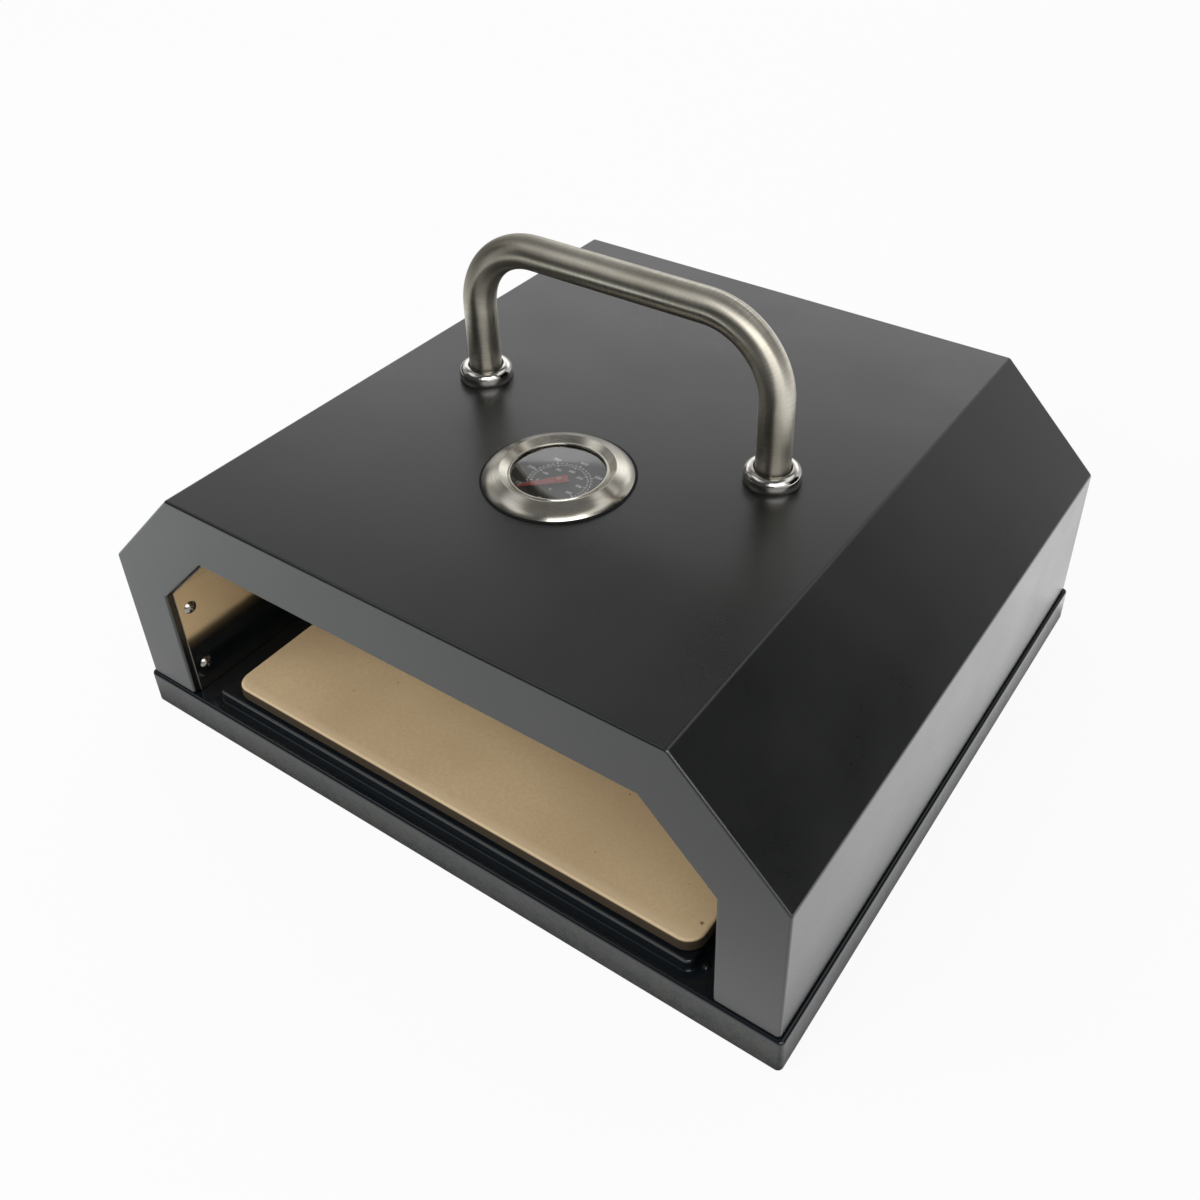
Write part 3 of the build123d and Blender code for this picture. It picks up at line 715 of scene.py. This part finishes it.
def make_ferrules(material):
    """Polished collars with a rounded crown and a lip round the tube."""
    for side in ("left", "right"):
        name, node = "ferrule_" + side, "handle_ferrule_" + side
        low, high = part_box(node)
        outer = half_width(node)
        height = high.z - low.z
        bore = outer - COLLAR_WIDTH
        profile = rounded_profile([
            (bore, 0, 0), (outer - COLLAR_FOOT_EDGE, 0, 0), (outer, COLLAR_FOOT_EDGE, 0),
            (outer, height, COLLAR_CROWN), (bore + COLLAR_LIP, height, COLLAR_LIP_EDGE),
            (bore + COLLAR_LIP_EDGE, height - COLLAR_RECESS + COLLAR_BORE_EDGE, COLLAR_BORE_EDGE),
            (bore, height - COLLAR_RECESS, 0)])
        mesh = lathe(name, profile, box_middle(node, low.z), COLLAR_SIDES)
        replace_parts(new_object(name, mesh, material), node)


def make_bezel(material):
    """Dished ring with a thin rim, a crisp crest and a fine bead round the window."""
    low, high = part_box("thermometer_bezel")
    full = half_width("thermometer_bezel")
    crest = full - BEZEL_SLOPE_WIDTH
    window = crest - BEZEL_DISH_WIDTH
    outer = full - BEZEL_TRIM
    top = high.z - low.z + BEZEL_CREST_RISE
    dish = top - BEZEL_DISH_DEPTH
    slope = [(outer, 0, 0), (outer, BEZEL_RIM, BEZEL_RIM_EDGE)]
    for k in range(1, SLOPE_STEPS):
        share = 1 - k / SLOPE_STEPS
        drop = SLOPE_START * share + (1 - SLOPE_START) * share ** SLOPE_POWER
        slope.append((crest + (outer - crest) * share, top - (top - BEZEL_RIM) * drop, 0))
    profile = rounded_profile(slope + [
        (crest, top, BEZEL_CREST_EDGE),
        (window + BEAD_FOOT, dish - BEAD_SINK, BEAD_EDGES[0]),
        (window + BEAD_TOP, dish + BEAD_HEIGHT, BEAD_EDGES[1]),
        (window, dish + BEAD_HEIGHT, BEAD_EDGES[2]),
        (window, dish - BEZEL_SHEET, 0),
        (crest, top - BEZEL_SHEET - BEZEL_CREST_EXTRA, 0),
        (outer - BEZEL_SHEET, 0, 0)])
    mesh = lathe("bezel", profile, box_middle("thermometer_bezel", low.z), BEZEL_SIDES)
    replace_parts(new_object("bezel", mesh, material), "thermometer_bezel")


class DialPrint:
    """Collects thin flat shapes on the dial, in one mesh."""

    def __init__(self):
        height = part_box("dial_plate")[1].z + PRINT_LIFT
        self.centre = box_middle("thermometer_bezel", height)
        self.middle = Vector(self.centre)
        self.up = Vector((0, 0, PRINT_THICKNESS / 2))
        self.target = bmesh.new()

    def text(self, label, size, across, depth):
        """Adds a line of text, centred on a place that is measured from the dial's middle."""
        x, y, z = self.centre
        curve = bpy.data.curves.new("label", "FONT")
        curve.body = label
        curve.size = size
        curve.align_x = "CENTER"
        curve.align_y = "CENTER"
        curve.extrude = PRINT_THICKNESS / 2
        curve.resolution_u = 3
        curve.offset = LABEL_WEIGHT
        holder = bpy.data.objects.new("label", curve)
        bpy.context.scene.collection.objects.link(holder)
        bpy.context.view_layer.update()
        shown = holder.evaluated_get(bpy.context.evaluated_depsgraph_get())
        mesh = bpy.data.meshes.new_from_object(shown)
        mesh.transform(Matrix.Translation((x + across, y + depth, z)))
        self.target.from_mesh(mesh)
        bpy.data.objects.remove(holder)
        bpy.data.curves.remove(curve)
        bpy.data.meshes.remove(mesh)

    def tick(self, angle, inner, outer, width):
        """Adds a radial line."""
        along = Vector((math.cos(angle), math.sin(angle), 0))
        side = Vector((-along.y, along.x, 0)) * (width / 2)
        start = self.middle + along * inner
        end = self.middle + along * outer
        flat = [start - side, end - side, end + side, start + side]
        bottom = [self.target.verts.new(v - self.up) for v in flat]
        top = [self.target.verts.new(v + self.up) for v in flat]
        self.target.faces.new(top)
        self.target.faces.new(bottom[::-1])
        for k in range(4):
            self.target.faces.new((bottom[k], bottom[(k + 1) % 4], top[(k + 1) % 4], top[k]))

    def arc(self, radius, start, sweep):
        """Adds a thin arc, clockwise from its start angle."""
        up = self.up
        rows = []
        for k in range(CIRCLE_STEPS + 1):
            angle = math.radians(start - sweep * k / CIRCLE_STEPS)
            along = Vector((math.cos(angle), math.sin(angle), 0))
            near = self.middle + along * (radius - CIRCLE_WIDTH / 2)
            far = self.middle + along * (radius + CIRCLE_WIDTH / 2)
            rows.append([self.target.verts.new(v) for v in (near - up, far - up, far + up, near + up)])
        for a, b in zip(rows, rows[1:]):
            for k in range(4):
                self.target.faces.new((a[k], a[(k + 1) % 4], b[(k + 1) % 4], b[k]))
        self.target.faces.new(rows[0])
        self.target.faces.new(rows[-1][::-1])

    def ticks(self, scale):
        """Adds a scale's circle with its short and long ticks."""
        self.arc(scale["circle"], scale["start"], scale["sweep"])
        count = (len(scale["numbers"]) - 1) * TICKS_PER_NUMBER
        for k in range(count + 1):
            angle = math.radians(scale["start"] - scale["sweep"] * k / count)
            reach, width = scale["short"], scale["tick"]
            if k % TICKS_PER_NUMBER == 0:
                reach, width = scale["long"], LONG_TICK_WIDENING * width
            self.tick(angle, min(scale["circle"], reach), max(scale["circle"], reach), width)

    def labels(self, scale):
        """Adds a scale's numbers, upright, evenly along its sweep."""
        radius = scale["label"]
        for k, number in enumerate(scale["numbers"]):
            angle = math.radians(scale["start"] - scale["sweep"] * k / (len(scale["numbers"]) - 1))
            self.text(str(number), scale["size"], radius * math.cos(angle), radius * math.sin(angle))


def make_dial_print(material):
    """Two temperature scales: ticks, circles, numbers and the signs of their units."""
    dial = DialPrint()
    for scale in (FAHRENHEIT, CELSIUS):
        dial.ticks(scale)
    for scale in (FAHRENHEIT, CELSIUS):
        dial.labels(scale)
    for sign, size, before in UNIT_SIGNS:
        dial.text(sign, size, 0, -before)
    mesh = bpy.data.meshes.new("dial_print")
    bmesh.ops.recalc_face_normals(dial.target, faces=dial.target.faces)
    dial.target.to_mesh(mesh)
    dial.target.free()
    new_object("dial_print", mesh, material)


def new_camera():
    """Camera at the photograph's viewpoint, with its small roll and shift."""
    azimuth, elevation, roll = (math.radians(a) for a in (CAMERA_AZIMUTH, CAMERA_ELEVATION, CAMERA_ROLL))
    back = Vector((math.sin(azimuth) * math.cos(elevation), -math.cos(azimuth) * math.cos(elevation),
                   math.sin(elevation)))
    right = Vector((0, 0, 1)).cross(back).normalized()
    down = -back.cross(right)
    turned_right = right * math.cos(roll) - down * math.sin(roll)
    turned_down = right * math.sin(roll) + down * math.cos(roll)
    data = bpy.data.cameras.new("photo_camera")
    data.sensor_width = SENSOR
    data.lens = CAMERA_LENS / IMAGE_SIZE * SENSOR
    data.shift_x = (IMAGE_SIZE / 2 - CAMERA_CENTRE[0]) / IMAGE_SIZE
    data.shift_y = (CAMERA_CENTRE[1] - IMAGE_SIZE / 2) / IMAGE_SIZE
    camera = bpy.data.objects.new("photo_camera", data)
    turn = Matrix((turned_right, -turned_down, back)).transposed().to_4x4()
    camera.matrix_world = Matrix.Translation(CAMERA_PLACE) @ turn
    bpy.context.scene.collection.objects.link(camera)
    bpy.context.scene.camera = camera


def mirrored_level(p, across, depth, before):
    """How bright mirrors see the floor: dimmer before the oven and next to it, brighter at its right."""
    behind = p.blended(p.ranged(across, *RIGHT_SHARE), 1.0, p.ranged(depth, *RIGHT_LEVELS))
    level = p.blended(before, behind, p.ranged(across, *BEFORE_LEVELS))
    level = p.times(level, p.ranged(depth, *TABLE_FRONT))
    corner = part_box("base_tray")[1]
    side_gap = p.math("SUBTRACT", p.math("ABSOLUTE", across), corner.x)
    front_gap = p.math("SUBTRACT", p.math("ABSOLUTE", depth), corner.y)
    gap = p.math("MAXIMUM", side_gap, front_gap)
    level = p.times(level, p.ranged(gap, *CONTACT_LEVELS))
    near = p.times(before, p.ranged(gap, *NEAR_SHADE))
    return p.times(level, p.math("SUBTRACT", 1.0, near))


def floor_paint():
    """Pale ground that also shines by itself: white to the camera, and at mirrored_level to mirrors."""
    p = Paint("floor_pale")
    p.set(Base_Color=(0.90, 0.90, 0.90), Roughness=0.9, Specular_IOR_Level=0.0)
    here = p.place()
    across, depth = p.axis(here, "X"), p.axis(here, "Y")
    before = p.ranged(depth, *BEFORE_OVEN)
    camera_ray, mirrored = p.ray_kinds()
    tinted = p.times(before, p.ranged(across, *BEFORE_TINT_SHARE))
    colour = p.mix(p.times(mirrored, tinted), (1, 1, 1), BEFORE_TINT)
    strength = p.blended(mirrored, 1.0, mirrored_level(p, across, depth, before))
    glow = p.node("ShaderNodeEmission", {"Color": colour, "Strength": strength})
    share = p.times(p.math("MAXIMUM", mirrored, camera_ray), FLOOR_GLOW)
    p.surface(p.node("ShaderNodeMixShader", {0: share, 1: p.shader.outputs[0], 2: glow}))
    return p.material


def make_floor():
    """Pale floor with a soft shadow."""
    half = FLOOR_HALF
    mesh = bpy.data.meshes.new("floor")
    corners = [(-half, -half, 0), (half, -half, 0), (half, half, 0), (-half, half, 0)]
    mesh.from_pydata(corners, [], [(0, 1, 2, 3)])
    floor = bpy.data.objects.new("floor", mesh)
    floor.location.z = -FLOOR_DROP
    bpy.context.scene.collection.objects.link(floor)
    paint(floor, floor_paint())


def within(sky, value, half, soft):
    """Mask that is 1 up to this far from zero, with a soft edge, in degrees."""
    edge = {"Value": sky.math("ABSOLUTE", value), "From Min": math.radians(half - soft / 2),
            "From Max": math.radians(half + soft / 2), "To Min": 1.0, "To Max": 0.0}
    return sky.node("ShaderNodeMapRange", edge, interpolation_type="SMOOTHSTEP")


def make_world():
    """Studio: levels by direction to mirrors and glass, white to the camera and even light to all else."""
    world = bpy.data.worlds.new("studio")
    bpy.context.scene.world = world
    world.use_nodes = True
    sky = Nodes(world.node_tree)
    direction = sky.node("ShaderNodeTexCoord", {}, "Generated")
    azimuth = sky.math("ARCTAN2", sky.axis(direction, "X"), sky.axis(direction, "Y"))
    elevation = sky.math("ARCSINE", sky.axis(direction, "Z"))
    level = CEILING_LEVEL
    for middle, half, low, high, soft, strength in SURROUNDINGS:
        turned = sky.math("SUBTRACT", azimuth, math.radians(middle))
        turned = sky.node("ShaderNodeMath", {0: turned, 1: HALF_TURN, 2: -HALF_TURN}, operation="WRAP")
        up = sky.math("SUBTRACT", elevation, math.radians((low + high) / 2))
        share = sky.times(within(sky, turned, half, soft), within(sky, up, (high - low) / 2, soft))
        level = sky.blended(share, level, strength)
    camera_ray, mirrored = sky.ray_kinds()
    strength = sky.blended(camera_ray, sky.blended(mirrored, AMBIENT_LEVEL, level), 1.0)
    background = sky.tree.nodes["Background"].inputs
    sky.put(background["Strength"], strength)
    sky.put(background["Color"], (1, 1, 1))


def make_softboxes():
    for name, (place, target, size, power, mirrored) in SOFTBOXES.items():
        data = bpy.data.lights.new(name, "AREA")
        data.shape = "RECTANGLE"
        data.size, data.size_y = size
        data.energy = power
        lamp = bpy.data.objects.new(name, data)
        lamp.location = place
        lamp.visible_camera = False
        lamp.visible_glossy = mirrored
        lamp.rotation_mode = "QUATERNION"
        lamp.rotation_quaternion = (Vector(target) - Vector(place)).to_track_quat("-Z", "Y")
        bpy.context.scene.collection.objects.link(lamp)


def finish_cad_parts():
    """Gives each CAD part that stays its material."""
    paint_all(COATED, powder_coat())
    paint_all(ROLLED, rolled_steel())
    paint_all(PLATED, plated_steel("plain_steel", (0.52, 0.525, 0.53), 0.34))
    paint_all(BRASS, turned_brass())
    paint_all(SCREWS, plated_steel("screw_steel", (0.40, 0.375, 0.35), 0.22))
    paint(nodes["base_tray"], enamel())
    paint(nodes["pizza_stone"], cordierite())
    # the gasket is black, and is made near-black and matt so that it also carries painted shade of the gap
    # under the bezel
    paint(nodes["thermometer_gasket"], matt_black("gasket_black", (0.002, 0.002, 0.002), 0.6 * MM, 0.85))
    paint_all(["dial_plate", "lens_ring"], matt_black("dial_black", (0.015, 0.015, 0.015), 0.4 * MM, 0.5))
    paint(nodes["glass_lens"], dial_glass())
    paint(nodes["needle"], needle_red())


new_camera()
make_world()
make_floor()
make_softboxes()
finish_cad_parts()
make_handle(brushed_tube())
make_ferrules(polished_steel())
make_bezel(brushed_ring())
make_dial_print(dial_ink())

bpy.context.scene.view_settings.view_transform = "Standard"
